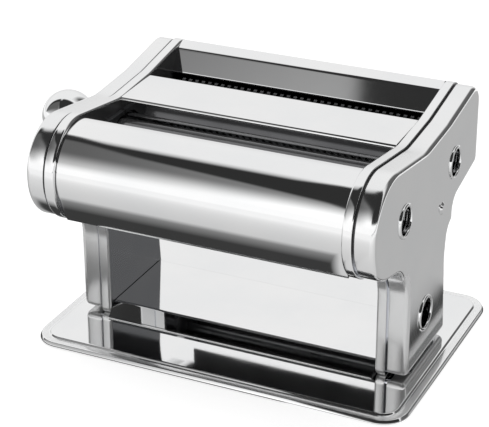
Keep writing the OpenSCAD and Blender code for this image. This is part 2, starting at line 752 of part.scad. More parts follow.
bush_r = setting_r + bush_t;
bush_in = 4.6;          // dial bush inside the cover's face
dial_t = 1.2;
dial_r = 13;
dial_ring_r = 7.2;      // circle of the detent holes
detent_r = 1.2;
detent_gap = 0.15;
dial_step = 20;         // degrees between settings
knob_hub_t = 5;
knob_wall = 1.5;
spring_t = 2.5;
spring_wall = 1.2;
shaft_nut_t = 3;
shaft_nut_r = 5.2;
knob_room = 1.5;        // room beyond the shaft's end
cam_gap = 0.4;          // cam from the block's faces
x_dial = x_out + dial_t;
x_hub = x_dial + end_gap;
x_spring = x_hub + knob_hub_t + knob_pull + end_gap;
x_shaft_nut = x_spring + spring_t;
x_shaft_end = x_shaft_nut + shaft_nut_t + screw_tail;
x_dome = x_out + knob_out;

module setting_shaft() color(dark_steel) machine() left() {
    rod(x_block + cam_gap, x_block + cam_t, cam_r, knob_axis + toward(roller_tilt + 90) * roller_travel);
    rod(x_block + cam_t, x_shaft_end, setting_r, knob_axis);
}
module shaft_nut() color(dark_steel) machine() left() difference() {
    hex(x_shaft_nut, x_shaft_nut + shaft_nut_t, shaft_nut_r, knob_axis);
    rod(x_shaft_nut - over, x_shaft_nut + shaft_nut_t + over, setting_r, knob_axis);
}
module knob_spring() color(dark_steel) machine() left()
    tube(x_spring, x_shaft_nut, setting_r + spring_wall, setting_r, knob_axis);
module dial_plate() color(bright) machine() left() difference() {
    union() {
        rod(x_out, x_dial, dial_r, knob_axis);
        rod(x_out - bush_in, x_out, bush_r, knob_axis);
    }
    rod(x_out - bush_in - over, x_dial + over, setting_r + run_fit, knob_axis);
    for (k = [0:setting_count - 1])
        rod(x_dial - dial_t / 2, x_dial + over, detent_r + run_fit,
            knob_axis + dial_ring_r * toward(90 + dial_step * (k - (setting_count - 1) / 2)));
}
module knob_hub() color(dark_steel) machine() left() {
    tube(x_hub, x_hub + knob_hub_t, knob_neck_r - knob_wall, setting_r + run_fit, knob_axis);
    rod(x_dial + detent_gap, x_hub, detent_r, knob_axis + dial_ring_r * toward(90));
}
module knob() color(bright) machine() left() difference() {
    union() {
        translate([x_dome, knob_axis[0], knob_axis[1]]) rotate([0, 90, 0]) sphere(r = knob_r);
        rod(x_hub, x_dome, knob_neck_r, knob_axis);
    }
    rod(x_out - over, x_shaft_end + knob_room, knob_neck_r - knob_wall, knob_axis);
}

base_plate();
rubber_feet();
cross_channel();
left_inner_frame();
right_inner_frame();
left_outer_cover();
right_outer_cover();
front_cover();
tray();
rear_cover();
dough_guides();
front_roller();
front_roller_gear();
rear_roller();
rear_roller_gear();
roller_bushes();
left_bearing_block();
right_bearing_block();
carriage_bar();
rear_scraper();
front_scraper();
front_cutter();
front_cutter_gear();
rear_cutter();
rear_cutter_gear();
cutter_bushes();
front_comb();
rear_comb();
setting_shaft();
shaft_nut();
dial_plate();
knob_hub();
knob();
knob_spring();
tie_rods();
tie_nuts();
base_screws();
hole_rings();
cover_screws();
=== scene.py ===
import bpy, bmesh, math
import numpy as np
from mathutils import Matrix, Vector
from mathutils.geometry import tessellate_polygon


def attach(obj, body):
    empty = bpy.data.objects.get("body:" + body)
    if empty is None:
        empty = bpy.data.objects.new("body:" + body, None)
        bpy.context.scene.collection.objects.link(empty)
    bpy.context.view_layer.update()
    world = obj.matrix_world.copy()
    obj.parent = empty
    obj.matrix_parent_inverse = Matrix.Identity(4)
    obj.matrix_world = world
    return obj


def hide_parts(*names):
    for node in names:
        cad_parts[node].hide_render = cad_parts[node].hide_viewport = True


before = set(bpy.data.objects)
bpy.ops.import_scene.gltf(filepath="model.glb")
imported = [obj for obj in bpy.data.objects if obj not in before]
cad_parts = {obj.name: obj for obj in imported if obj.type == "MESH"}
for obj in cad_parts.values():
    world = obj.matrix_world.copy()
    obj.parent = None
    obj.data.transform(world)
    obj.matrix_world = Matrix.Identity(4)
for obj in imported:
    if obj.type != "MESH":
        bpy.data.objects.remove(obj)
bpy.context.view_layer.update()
print("frame loaded:", len(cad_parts), "nodes")

# The machine is drawn in millimetres round its own middle, then moved into the frame.
machine = {"shift": (9.2, 6.725, 0.0), "clearWidth": 156.4, "sheet": 1.0, "flange": 5.4, "seam": 0.8,
           "coverWidth": 10.9, "coverSheet": 1.0, "coverRound": 2.9, "flangeProud": 0.8, "lip": 1.9,
           "gap": 0.3}
xIn = machine["clearWidth"] / 2
xBack = xIn + machine["sheet"]
xFlange = xIn + machine["flange"]
xSeam = xFlange + machine["seam"]
xOut = xSeam + machine["coverWidth"]
xInside = xOut - machine["coverSheet"]
xLip = xSeam + machine["lip"]


# Curves in the side view
def unit(v):
    return v / np.linalg.norm(v)


def toward(degrees):
    return np.array([math.cos(math.radians(degrees)), math.sin(math.radians(degrees))])


# Points of the arc that rounds corner q between p and s, with one point a little way along
# each straight side, so that flat sheet keeps a flat reflection.
def cornerArc(p, q, s, radius, step, before=0.3, after=0.3):
    if radius <= 0:
        return q[None]
    u, v = unit(p - q), unit(s - q)
    half = math.acos(max(-1, min(1, float(u @ v)))) / 2
    centre = q + unit(u + v) * radius / math.sin(half)
    reach = radius / math.tan(half)
    start = q + u * reach - centre
    turn = float(-u[0] * v[1] + u[1] * v[0])
    sweep = (math.pi - 2 * half) * (1 if turn > 0 else -1)
    count = max(3, int(math.ceil(abs(math.degrees(sweep)) / step)))
    angles = math.atan2(start[1], start[0]) + sweep * np.linspace(0, 1, count + 1)
    arc = centre + radius * np.stack([np.cos(angles), np.sin(angles)], 1)
    return np.vstack([q + u * (reach + before), arc, q + v * (reach + after)])


# Length that a rounded corner takes from each of its two straight sides.
def cornerReach(p, q, s, radius):
    if radius <= 0:
        return 0.0
    return radius / math.tan(math.acos(max(-1, min(1, float(unit(p - q) @ unit(s - q))))) / 2)


def roundedLoop(corners, step=3.0):
    n = len(corners)
    at = [np.array(c[:2], float) for c in corners]
    reach = [cornerReach(at[i - 1], at[i], at[(i + 1) % n], corners[i][2]) for i in range(n)]
    sides = [np.linalg.norm(at[(i + 1) % n] - at[i]) for i in range(n)]
    support = [min(0.3, (sides[i] - reach[i] - reach[(i + 1) % n]) / 3) for i in range(n)]
    return np.vstack([cornerArc(at[i - 1], at[i], at[(i + 1) % n], corners[i][2], step, support[i - 1], support[i])
                      for i in range(n)])


def roundedPath(corners, step=3.0):
    at = [np.array(c[:2], float) for c in corners]
    inner = [cornerArc(at[i - 1], at[i], at[i + 1], corners[i][2], step) for i in range(1, len(corners) - 1)]
    return np.vstack([at[0][None], *inner, at[-1][None]])


def arcPoints(centre, radius, start, end, count):
    angles = np.radians(np.linspace(start, end, count + 1))
    return np.array(centre) + radius * np.stack([np.cos(angles), np.sin(angles)], 1)


# Every point moves along the mitre of its two neighbouring edges by d, to the left of the direction of travel.
def moved(points, d, closed=True):
    before = points - np.roll(points, 1, 0)
    after = np.roll(points, -1, 0) - points
    if not closed:
        before[0], after[-1] = after[0], before[-1]
    left = lambda e: np.stack([-e[:, 1], e[:, 0]], 1) / np.linalg.norm(e, axis=1, keepdims=True)
    a, b = left(before), left(after)
    mitre = (a + b) / (1 + (a * b).sum(1, keepdims=True))
    return points + d * mitre


# Meshes
merging = {"near": 1e-6, "flat": 1e-7}  # metres


def meshPiece(name, points, faces, materials, faceSlots=None, sharp=32.0):
    mesh = bpy.data.meshes.new(name)
    placed = (np.asarray(points, float) + np.array(machine["shift"])) / 1000.0
    mesh.from_pydata(placed.tolist(), [], [list(map(int, f)) for f in faces])
    for material in materials:
        mesh.materials.append(material)
    if faceSlots is not None:
        mesh.polygons.foreach_set("material_index", np.asarray(faceSlots, np.int32))
    work = bmesh.new()
    work.from_mesh(mesh)
    bmesh.ops.remove_doubles(work, verts=work.verts, dist=merging["near"])
    bmesh.ops.dissolve_degenerate(work, edges=work.edges, dist=merging["flat"])
    bmesh.ops.recalc_face_normals(work, faces=work.faces)
    work.to_mesh(mesh)
    work.free()
    mesh.polygons.foreach_set("use_smooth", np.ones(len(mesh.polygons), bool))
    mesh.set_sharp_from_angle(angle=math.radians(sharp))
    piece = bpy.data.objects.new(name, mesh)
    bpy.context.scene.collection.objects.link(piece)
    return piece


# Quads that join ring a to ring b, both of n points in order.
def ringFaces(a, b, n, closed=True):
    i = np.arange(n if closed else n - 1)
    j = (i + 1) % n
    return np.stack([a + i, a + j, b + j, b + i], 1)


# A sheet bent along a path in the side view, of thickness d to its left, pulled along X. The last material is for the
# hidden side, a dark one that paints the shade on the unlit inner side of the sheet.
def bentSheet(name, path, thickness, x0, x1, materials, sharp=32.0):
    other = moved(path, thickness, closed=False)
    loop = np.vstack([path, other[::-1]])
    n, m = len(loop), len(path)
    rings = [np.column_stack([np.full(n, x), loop]) for x in (x0, x1)]
    faces = list(ringFaces(0, n, n))
    i = np.arange(m - 1)
    cap = np.stack([i, i + 1, n - 2 - i, n - 1 - i], 1)
    slots = [0] * (m - 1) + [len(materials) - 1] * (n - m + 1) + [len(materials) - 1] * (2 * (m - 1))
    return meshPiece(name, np.vstack(rings), faces + list(cap) + list(cap + n), materials, slots, sharp=sharp)


# A drawn pan: loops of the outline at given stations across the machine and given insets, closed by two flat
# faces with the same holes, and a straight wall round each hole.
def drawnPan(name, outline, sections, holes, materials, slotOf=None, mirrored=False, sharp=32.0, satinBelow=None):
    n = len(outline)
    points, faces, slots = [], [], []
    for x, inset in sections:
        points.append(np.column_stack([np.full(n, x), moved(outline, -inset)]))
    for k in range(len(sections) - 1):
        quads = ringFaces(k * n, (k + 1) * n, n)
        faces += list(quads)
        slot = slotOf(k) if slotOf else 0
        low = satinBelow is not None and slot == 0
        slots += list(np.where(points[k][:, 2] < satinBelow, len(materials) - 1, slot)) if low else [slot] * n
    base = len(sections) * n
    ends = []
    for k, end in ((0, sections[0]), (len(sections) - 1, sections[-1])):
        rim = points[k]
        loops, index = [[Vector(p) for p in rim]], list(range(k * n, k * n + n))
        for hole in holes:
            ring = np.column_stack([np.full(len(hole), end[0]), hole])
            points.append(ring)
            loops.append([Vector(p) for p in ring])
            index += list(range(base, base + len(hole)))
            base += len(hole)
        index = np.array(index)
        triangles = [index[list(t)] for t in tessellate_polygon(loops)]
        faces += triangles
        slots += [slotOf(-1 if k == 0 else -2) if slotOf else 0] * len(triangles)
        ends.append(base - sum(len(h) for h in holes))
    offset = 0
    for hole in holes:
        quads = ringFaces(ends[0] + offset, ends[1] + offset, len(hole))
        faces += list(quads)
        slots += [slotOf(-3) if slotOf else 0] * len(quads)
        offset += len(hole)
    points = np.vstack(points)
    if mirrored:
        points = points * np.array([-1, 1, 1])
    return meshPiece(name, points, faces, materials, slots, sharp=sharp)


# A turned piece: each profile point (station, radius) goes round an axis along X; a radius of zero closes a pole.
def turned(name, profile, centre, materials, count=96, closed=True, sharp=32.0):
    profile = np.asarray(profile, float)
    angles = np.linspace(0, 2 * math.pi, count, endpoint=False)
    x = np.repeat(profile[:, 0], count)
    r = np.repeat(profile[:, 1], count)
    a = np.tile(angles, len(profile))
    points = np.column_stack([x, centre[0] + r * np.cos(a), centre[1] + r * np.sin(a)])
    faces = []
    last = len(profile) if closed else len(profile) - 1
    for k in range(last):
        faces += list(ringFaces(k * count, (k + 1) % len(profile) * count, count))
    return meshPiece(name, points, faces, materials, sharp=sharp)


def circlePoints(centre, radius, count=64):
    return arcPoints(centre, radius, 0, 360, count)[:-1]


def slotPoints(centre, reach, radius, degrees, count=24):
    u = toward(degrees) * reach
    return np.vstack([arcPoints(np.array(centre) + u, radius, degrees - 90, degrees + 90, count),
                      arcPoints(np.array(centre) - u, radius, degrees + 90, degrees + 270, count)])


# Materials and their nodes
def rampNode(nodes, stops):
    ramp = nodes.new("ShaderNodeValToRGB")
    ramp.color_ramp.interpolation = "LINEAR"
    elements = ramp.color_ramp.elements
    elements[0].position, elements[0].color = stops[0][0], (*[stops[0][1]] * 3, 1)
    elements[1].position, elements[1].color = stops[-1][0], (*[stops[-1][1]] * 3, 1)
    for position, level in stops[1:-1]:
        elements.new(position).color = (level, level, level, 1)
    return ramp


def mathNode(nodes, links, operation, *values, clamp=False):
    node = nodes.new("ShaderNodeMath")
    node.operation = operation
    node.use_clamp = clamp
    for k, value in enumerate(values):
        if hasattr(value, "links"):
            links.new(value, node.inputs[k])
        else:
            node.inputs[k].default_value = value
    return node.outputs["Value"]


def rangeNode(nodes, links, value, fromMin, fromMax, toMin, toMax, smooth=False):
    node = nodes.new("ShaderNodeMapRange")
    node.interpolation_type = "SMOOTHSTEP" if smooth else "LINEAR"
    for key, entry in (("Value", value), ("From Min", fromMin), ("From Max", fromMax),
                       ("To Min", toMin), ("To Max", toMax)):
        if hasattr(entry, "links"):
            links.new(entry, node.inputs[key])
        else:
            node.inputs[key].default_value = entry
    return node.outputs["Result"]


def nodeMaterial(name):
    material = bpy.data.materials.new(name)
    material.use_nodes = True
    nodes, links = material.node_tree.nodes, material.node_tree.links
    shader = nodes["Principled BSDF"]
    coordinates = nodes.new("ShaderNodeTexCoord")
    return material, nodes, links, shader, coordinates


# Noise scales and details of the metals, the depth of their waves in metres, and the dark colour and metallic of the
# painted shade inside the head
metal = {"cloud": (28.0, 5.0), "cloudRange": (0.35, 0.65), "smear": (60.0, 6.0), "smearRange": (0.3, 0.7),
         "waveDetail": 1.0, "waveDepth": 0.001,
         "insideShade": (0.10, 0.10, 0.102), "insideShadeMetallic": 0.4}


# Metal with faint handling marks: one noise varies the colour, one the roughness, and a broad one
# bends the surface by a few thousandths, as pressed sheet does.
# Given a pair of heights, the sheet turns dark and less metallic between them: painted shade for the unlit inside of
# the head.
def steelMaterial(name, dark, light, roughLow, roughHigh, wave=0.0, waveScale=18.0, grain=None, shadeAbove=None,
                  metallic=1.0):
    material, nodes, links, shader, coordinates = nodeMaterial(name)
    shader.inputs["Metallic"].default_value = metallic
    cloud = nodes.new("ShaderNodeTexNoise")
    cloud.inputs["Scale"].default_value, cloud.inputs["Detail"].default_value = metal["cloud"]
    links.new(coordinates.outputs["Object"], cloud.inputs["Vector"])
    colour = nodes.new("ShaderNodeValToRGB")
    for element, position, shade in zip(colour.color_ramp.elements, metal["cloudRange"], (dark, light)):
        element.position, element.color = position, (*shade, 1)
    links.new(cloud.outputs["Fac"], colour.inputs["Fac"])
    finish = colour.outputs["Color"]
    # Painted shade: between the two heights the colour goes dark and the metal turns less metallic.
    if shadeAbove:
        parts = nodes.new("ShaderNodeSeparateXYZ")
        links.new(coordinates.outputs["Object"], parts.inputs["Vector"])
        insideShadeMix = nodes.new("ShaderNodeMix")
        insideShadeMix.data_type = "RGBA"
        insideShadeMix.inputs["B"].default_value = (*metal["insideShade"], 1)
        links.new(rangeNode(nodes, links, parts.outputs["Z"], *shadeAbove, 0.0, 1.0), insideShadeMix.inputs["Factor"])
        links.new(finish, insideShadeMix.inputs["A"])
        finish = insideShadeMix.outputs["Result"]
        links.new(rangeNode(nodes, links, parts.outputs["Z"], *shadeAbove, metallic, metal["insideShadeMetallic"]),
                  shader.inputs["Metallic"])
    links.new(finish, shader.inputs["Base Color"])
    smear = nodes.new("ShaderNodeTexNoise")
    smear.inputs["Scale"].default_value, smear.inputs["Detail"].default_value = metal["smear"]
    mapping = nodes.new("ShaderNodeMapping")
    mapping.inputs["Scale"].default_value = grain or (1.0, 1.0, 1.0)
    links.new(coordinates.outputs["Object"], mapping.inputs["Vector"])
    links.new(mapping.outputs["Vector"], smear.inputs["Vector"])
    links.new(rangeNode(nodes, links, smear.outputs["Fac"], *metal["smearRange"], roughLow, roughHigh),
              shader.inputs["Roughness"])
    if wave > 0:
        swell = nodes.new("ShaderNodeTexNoise")
        swell.inputs["Scale"].default_value = waveScale
        swell.inputs["Detail"].default_value = metal["waveDetail"]
        links.new(mapping.outputs["Vector"], swell.inputs["Vector"])
        bump = nodes.new("ShaderNodeBump")
        bump.inputs["Strength"].default_value = wave
        bump.inputs["Distance"].default_value = metal["waveDepth"]
        links.new(swell.outputs["Fac"], bump.inputs["Height"])
        links.new(bump.outputs["Normal"], shader.inputs["Normal"])
    return material


moulded = {"speck": (900.0, 3.0), "roughSpread": (-0.05, 0.08), "bump": 0.15, "bumpDepth": 0.0002}


# Rubber and plastic: one fine speck varies colour, roughness and surface.
def mouldedMaterial(name, dark, light, roughness, specular=0.5):
    material, nodes, links, shader, coordinates = nodeMaterial(name)
    shader.inputs["Specular IOR Level"].default_value = specular
    speck = nodes.new("ShaderNodeTexNoise")
    speck.inputs["Scale"].default_value, speck.inputs["Detail"].default_value = moulded["speck"]
    links.new(coordinates.outputs["Object"], speck.inputs["Vector"])
    colour = nodes.new("ShaderNodeValToRGB")
    colour.color_ramp.elements[0].color = (*dark, 1)
    colour.color_ramp.elements[1].color = (*light, 1)
    links.new(speck.outputs["Fac"], colour.inputs["Fac"])
    links.new(colour.outputs["Color"], shader.inputs["Base Color"])
    smoothest, roughest = (roughness + spread for spread in moulded["roughSpread"])
    links.new(rangeNode(nodes, links, speck.outputs["Fac"], 0.0, 1.0, smoothest, roughest), shader.inputs["Roughness"])
    bump = nodes.new("ShaderNodeBump")
    bump.inputs["Strength"].default_value = moulded["bump"]
    bump.inputs["Distance"].default_value = moulded["bumpDepth"]
    links.new(speck.outputs["Fac"], bump.inputs["Height"])
    links.new(bump.outputs["Normal"], shader.inputs["Normal"])
    return material


brightSheet = (0.80, 0.805, 0.81), (0.83, 0.83, 0.83)
mirrorSteel = steelMaterial("mirrorSteel", *brightSheet, 0.03, 0.055, wave=0.02, waveScale=14.0)
baseSteel = steelMaterial("baseSteel", *brightSheet, 0.03, 0.055, wave=0.03, waveScale=12.0)
sideSteel = steelMaterial("sideSteel", (0.79, 0.795, 0.80), (0.82, 0.82, 0.82), 0.09, 0.13,
                          wave=0.02, waveScale=16.0)
satinSteel = steelMaterial("satinSteel", (0.94, 0.945, 0.95), (0.97, 0.97, 0.97), 0.16, 0.20, metallic=0.6)
# The web of the end frames: steel, painted dark and less metallic from 88 to 100 mm up, as shade for the unlit inside
# of the head.
webSteel = steelMaterial("webSteel", (0.74, 0.755, 0.79), (0.78, 0.79, 0.82), 0.07, 0.12,
                         wave=0.01, shadeAbove=(0.088, 0.100))
# Hidden sides of the head sheets and the channel: dark, painted shade for where light does not reach.
shadedInsideSteel = steelMaterial("shadedInsideSteel", (0.10, 0.10, 0.102), (0.14, 0.14, 0.142), 0.3, 0.42, metallic=0.4)
# Rollers: steel painted dark, as shade for their place inside the head and behind the socket holes.
shadedRollerSteel = steelMaterial("shadedRollerSteel", (0.13, 0.13, 0.135), (0.17, 0.17, 0.175), 0.12, 0.2,
                            grain=(0.05, 6.0, 6.0), metallic=0.7)
# Cutters: steel painted dark, as shade for their place deep inside the head.
shadedCutterSteel = steelMaterial("shadedCutterSteel", (0.085, 0.087, 0.09), (0.12, 0.12, 0.125), 0.2, 0.3,
                            grain=(0.05, 8.0, 8.0))
machinedSteel = steelMaterial("machinedSteel", (0.20, 0.205, 0.21), (0.28, 0.285, 0.29), 0.26, 0.4,
                              grain=(1.0, 7.0, 7.0))
bearingBrass = steelMaterial("bearingBrass", (0.60, 0.44, 0.20), (0.72, 0.56, 0.30), 0.20, 0.32,
                             grain=(1.0, 6.0, 6.0))
guidePlastic = mouldedMaterial("guidePlastic", (0.030, 0.031, 0.033), (0.045, 0.046, 0.048), 0.42)
footRubber = mouldedMaterial("footRubber", (0.010, 0.010, 0.010), (0.022, 0.022, 0.022), 0.65, 0.3)
print("materials ready")


# Each visible sheet is polished steel, rides on a body and stands for one node of the solids.
def standsFor(piece, node, body="frame"):
    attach(piece, body)
    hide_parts(node)
    return piece


# Side profile of the head and pillars
profile = {"noseR": 26.85, "noseY": -59.3, "chin": 82.54, "brow": 135.92,
           "pillarFront": -34.2, "footFront": -33.6, "throatZ": 70.3, "waist": (22.0, 52.4), "rear": 27.0,
           "armpit": (24.5, 66.4), "shoulder": (31.2, 69.4, 80.1), "dip": (-14.0, 125.7), "rise": (20.0, 128.1),
           "tail": (68.7, 88.4, 136.36), "coverFoot": 5.6, "frameFoot": 4.4, "step": 2.5}
cornerR = {"foot": 3.5, "throat": 25.0, "saddle": 40.0, "tailTop": 11.0, "tailLow": 4.5, "shoulder": 8.0,
           "notch": 3.5, "armpit": 8.0, "waist": 40.0}


def sideCorners(bottom):
    p, r = profile, cornerR
    left = p["noseY"] - p["noseR"]
    rear, low, top = p["tail"]
    inner, stepLow, stepTop = p["shoulder"]
    return [(p["footFront"], bottom, r["foot"]), (p["pillarFront"], p["throatZ"], r["throat"]),
            (left, p["chin"], p["noseR"]), (left, p["brow"], p["noseR"]),
            (*p["dip"], r["saddle"]), (*p["rise"], r["saddle"]), (rear, top, r["tailTop"]),
            (rear, low, r["tailLow"]), (inner, stepTop, r["shoulder"]), (inner, stepLow, r["notch"]),
            (*p["armpit"], r["armpit"]), (*p["waist"], r["waist"]), (p["rear"], bottom, r["foot"])]


coverLine = roundedLoop(sideCorners(profile["coverFoot"]), profile["step"])
frameLine = roundedLoop(sideCorners(profile["frameFoot"]), profile["step"])

# Places in the side view
# The three reaches are (millimetres, degrees) from one axis to the next.
axes = {"frontToRear": (25.94, 6), "cutters": (20, 19), "rearToKnob": (7.7, 65)}
frontAxis = np.array([-44.3, 100.8])
rearAxis = frontAxis + axes["frontToRear"][0] * toward(axes["frontToRear"][1])
cutterAxis = np.array([30.5, 102.3])
rearCutterAxis = cutterAxis + axes["cutters"][0] * toward(axes["cutters"][1])
knobAxis = rearAxis + axes["rearToKnob"][0] * toward(axes["rearToKnob"][1])
carriageRod = np.array([-11.56, 84.53])
rodPlaces = [(-51.24, 81.82), (23.30, 86.77), (61.49, 96.68), (-72.0, 110.0)]
coverScrew = (11.9, 83.6)
locatingHole = (-7.4, 31.6)

# End frames and covers
endFrame = {"bend": 1.3, "edge": 0.35, "steps": 7, "wall": 14, "satinBelow": 68.0, "turnUp": 1.0,
            "faceLoops": (0.6, 0.3), "flangeLoop": 0.3, "rollerHole": 8.0, "rearCutterHole": 6.5, "rodHole": 3.0,
            "slotTurn": 6, "slotReach": 1.48, "rollerSlot": 7.55, "carriageSlot": 3.3}


def frameSections():
    b, e, n = endFrame["bend"], endFrame["edge"], endFrame["steps"]
    inner, turnUp = machine["sheet"], endFrame["turnUp"]
    lipOuter = machine["flangeProud"] + machine["coverSheet"]
    lipInner = lipOuter + machine["sheet"]
    t = np.linspace(0, math.pi / 2, n + 1)
    front = [(xIn, b + d) for d in endFrame["faceLoops"]]  # loops close to a bend keep the sheet beside it flat
    front += [(xIn + b * (1 - math.cos(a)), b * (1 - math.sin(a))) for a in t]
    side = [(xFlange - e - endFrame["flangeLoop"], 0.0)]
    side += [(xFlange - e * (1 - math.sin(a)), e * (1 - math.cos(a))) for a in t[::2]]
    back = [(xFlange, lipOuter), (xLip, lipOuter), (xLip, lipInner), (xFlange - turnUp, lipInner),
            (xFlange - turnUp, inner), (xBack, inner)]
    return front + side + back


def innerFrame(name, node, mirrored):
    e = endFrame
    holes = [circlePoints(frontAxis, e["rollerHole"]), circlePoints(cutterAxis, e["rollerHole"]),
             circlePoints(rearCutterAxis, e["rearCutterHole"]),
             slotPoints(rearAxis, e["slotReach"], e["rollerSlot"], e["slotTurn"]),
             slotPoints(carriageRod, e["slotReach"], e["carriageSlot"], e["slotTurn"])]
    holes += [circlePoints(p, e["rodHole"], 32) for p in rodPlaces]
    line = moved(frameLine, machine["flangeProud"])
    piece = drawnPan(name, line, frameSections(), holes, [mirrorSteel, webSteel, satinSteel],
                     slotOf=lambda k: 1 if k < 1 or k >= e["wall"] else 0, mirrored=mirrored,
                     satinBelow=e["satinBelow"])
    return standsFor(piece, node)


cover = {"steps": 12, "faceLoops": (0.45, 0.2), "bendLoop": 0.4, "rim": [(0.55, 0.0), (0.2, 0.06), (0.0, 0.3)],
         "socketHole": 8.05, "footHole": 8.8, "screwHole": 1.6, "knobHole": 5.5}


def coverSections():
    r, s = machine["coverRound"], machine["coverSheet"]
    t = np.linspace(0, math.pi / 2, cover["steps"] + 1)
    outer = [(xOut, r + d) for d in cover["faceLoops"]]
    outer += [(xOut - r * (1 - math.cos(a)), r * (1 - math.sin(a))) for a in t]
    start = xSeam + machine["gap"]
    outer += [(xOut - r - cover["bendLoop"], 0.0)] + [(start + x, inset) for x, inset in cover["rim"]]
    return outer + [(start, s), (xInside, s)]


def outerCover(name, node, holes, mirrored):
    piece = drawnPan(name, coverLine, coverSections(), holes, [sideSteel, satinSteel], mirrored=mirrored,
                     satinBelow=endFrame["satinBelow"])
    return standsFor(piece, node)


innerFrame("leftInnerFrameSheet", "left_inner_frame", True)
innerFrame("rightInnerFrameSheet", "right_inner_frame", False)
screwHole = circlePoints(coverScrew, cover["screwHole"], 32)
outerCover("rightCoverShell", "right_outer_cover",
           [circlePoints(frontAxis, cover["socketHole"]), circlePoints(cutterAxis, cover["socketHole"]),
            circlePoints(locatingHole, cover["footHole"]), screwHole], False)
outerCover("leftCoverShell", "left_outer_cover", [circlePoints(knobAxis, cover["knobHole"]), screwHole], True)
print("end frames and covers ready")

# Sheet metal of the head
head = {"sheet": 0.8, "nose": (-59.3, 105.0), "noseR": 25.4, "start": 82.0, "end": 204.0, "chin": (-74.9, 80.1),
        "chinEnd": 213.0, "lip": 2.2, "lipTurn": 20.0, "foldR": 0.9, "foldDrop": 9.0,
        "trayFront": -14.7, "trayRear": 19.4, "trayFrontZ": 126.5, "trayRearZ": 127.6, "trayFold": 2.0,
        "trayRearFold": 1.0, "trayFrontDrop": 9.5, "trayRearDrop": 7.0,
        "foldSteps": 9, "noseSteps": 110, "chinSteps": 16,
        "rear": [(44.9, 121.05, 0), (45.5, 121.2, 0), (52.8, 132.1, 4.0), (59.9, 135.3, 2.0), (66.6, 128.5, 6.0),
                 (66.6, 77.5, 0)]}


def headPiece(name, node, path, side):
    piece = bentSheet(name, path, side * head["sheet"], -xIn, xIn, [mirrorSteel, shadedInsideSteel])
    return standsFor(piece, node)


# A curve from p to q that leaves and arrives with the outward normals a and b: a quadratic Bezier whose middle
# point is where the two tangents meet.
def easedCurve(p, a, q, b, count):
    u, v = toward(a + 90), toward(b + 90)
    along = np.linalg.solve(np.column_stack([u, v]), q - p)
    middle = p + along[0] * u
    t = np.linspace(0, 1, count + 1)[:, None]
    return (1 - t) ** 2 * p + 2 * t * (1 - t) * middle + t ** 2 * q


# Fold into the slot, round nose, nearly flat chin, and a fold back under it.
def frontCoverPath():
    h = head
    nose = np.array(h["nose"])
    edge = nose + h["noseR"] * toward(h["start"])
    bend = edge - h["foldR"] * toward(h["start"])
    fold = arcPoints(bend, h["foldR"], 0, h["start"], h["foldSteps"])[:-1]
    drop = np.array([[bend[0] + h["foldR"], bend[1] - h["foldDrop"]]])
    arc = arcPoints(nose, h["noseR"], h["start"], h["end"], h["noseSteps"])
    chin = np.array(h["chin"])
    flat = easedCurve(arc[-1], h["end"], chin, h["chinEnd"], h["chinSteps"])[1:]
    lip = chin + h["lip"] * toward(h["lipTurn"])
    return np.vstack([drop, fold, arc, flat, lip[None]])


headPiece("frontCoverSheet", "front_cover", frontCoverPath(), 1)

h = head
trayPath = roundedPath([(h["trayRear"], h["trayRearZ"] - h["trayRearDrop"], 0),
                        (h["trayRear"], h["trayRearZ"], h["trayRearFold"]),
                        (h["trayFront"], h["trayFrontZ"], h["trayFold"]),
                        (h["trayFront"], h["trayFrontZ"] - h["trayFrontDrop"], 0)], 6.0)
headPiece("traySheet", "tray", trayPath, 1)

# Small ledge, guide plate, top strip, bend over the back, rear panel.
headPiece("rearCoverSheet", "rear_cover", roundedPath(head["rear"], 2.0), -1)
print("head sheets ready")

# Base and channel
base = {"width": 213.4, "depth": 147.0, "corner": 15.0, "top": 3.6, "sheet": 0.8, "lift": 0.6,
        "rim": [(0.0, 0.6), (0.0, 1.0), (0.03, 1.12), (0.10, 1.25), (0.72, 2.48), (0.82, 2.60), (1.05, 2.68),
                (1.4, 2.70)],
        "shelf": [(4.3, 2.70), (4.6, 2.64), (5.0, 2.58), (5.25, 2.66), (5.40, 2.85), (5.72, 3.40), (5.85, 3.53),
                  (6.1, 3.60)],
        "shelfLoop": 0.5, "under": [(4.6, 1.8), (1.4, 1.8)], "underEdge": 1.3}


def baseLoop(inset, z, count=16):
    x, y, r = base["width"] / 2 - inset, base["depth"] / 2 - inset, base["corner"] - inset
    t = np.radians(np.linspace(0, 90, count + 1))
    arc = np.stack([np.cos(t), np.sin(t)], 1) * r
    turns = [np.array([[1, 0], [0, 1]]), np.array([[0, 1], [-1, 0]]),
             np.array([[-1, 0], [0, -1]]), np.array([[0, -1], [1, 0]])]
    centres = [(x - r, y - r), (-(x - r), y - r), (-(x - r), -(y - r)), (x - r, -(y - r))]
    loop = np.vstack([arc @ turn + np.array(centre) for turn, centre in zip(turns, centres)])
    return np.column_stack([loop, np.full(len(loop), z)])


def basePlate():
    b = base
    outer = b["rim"] + b["shelf"] + [(b["shelf"][-1][0] + b["shelfLoop"], b["top"])]
    satin = len(b["rim"]) - 1
    inner = [(outer[-1][0], b["top"] - b["sheet"]), *b["under"], (b["sheet"], b["underEdge"]),
             (b["sheet"], b["lift"])]
    sections = outer + inner
    n = len(baseLoop(0, 0))
    points = np.vstack([baseLoop(inset, z) for inset, z in sections])
    faces, slots = [], []
    top = len(outer) - 1
    for k in range(len(sections)):
        if k != top:
            faces += list(ringFaces(k * n, (k + 1) % len(sections) * n, n))
            slots += [1 if k == satin else 0] * n
    faces += [list(range(top * n, top * n + n)), list(range((top + 1) * n, (top + 1) * n + n))]
    piece = meshPiece("basePlateSheet", points, faces, [baseSteel, satinSteel], slots + [0, 0], sharp=40)
    standsFor(piece, "base_plate")


basePlate()

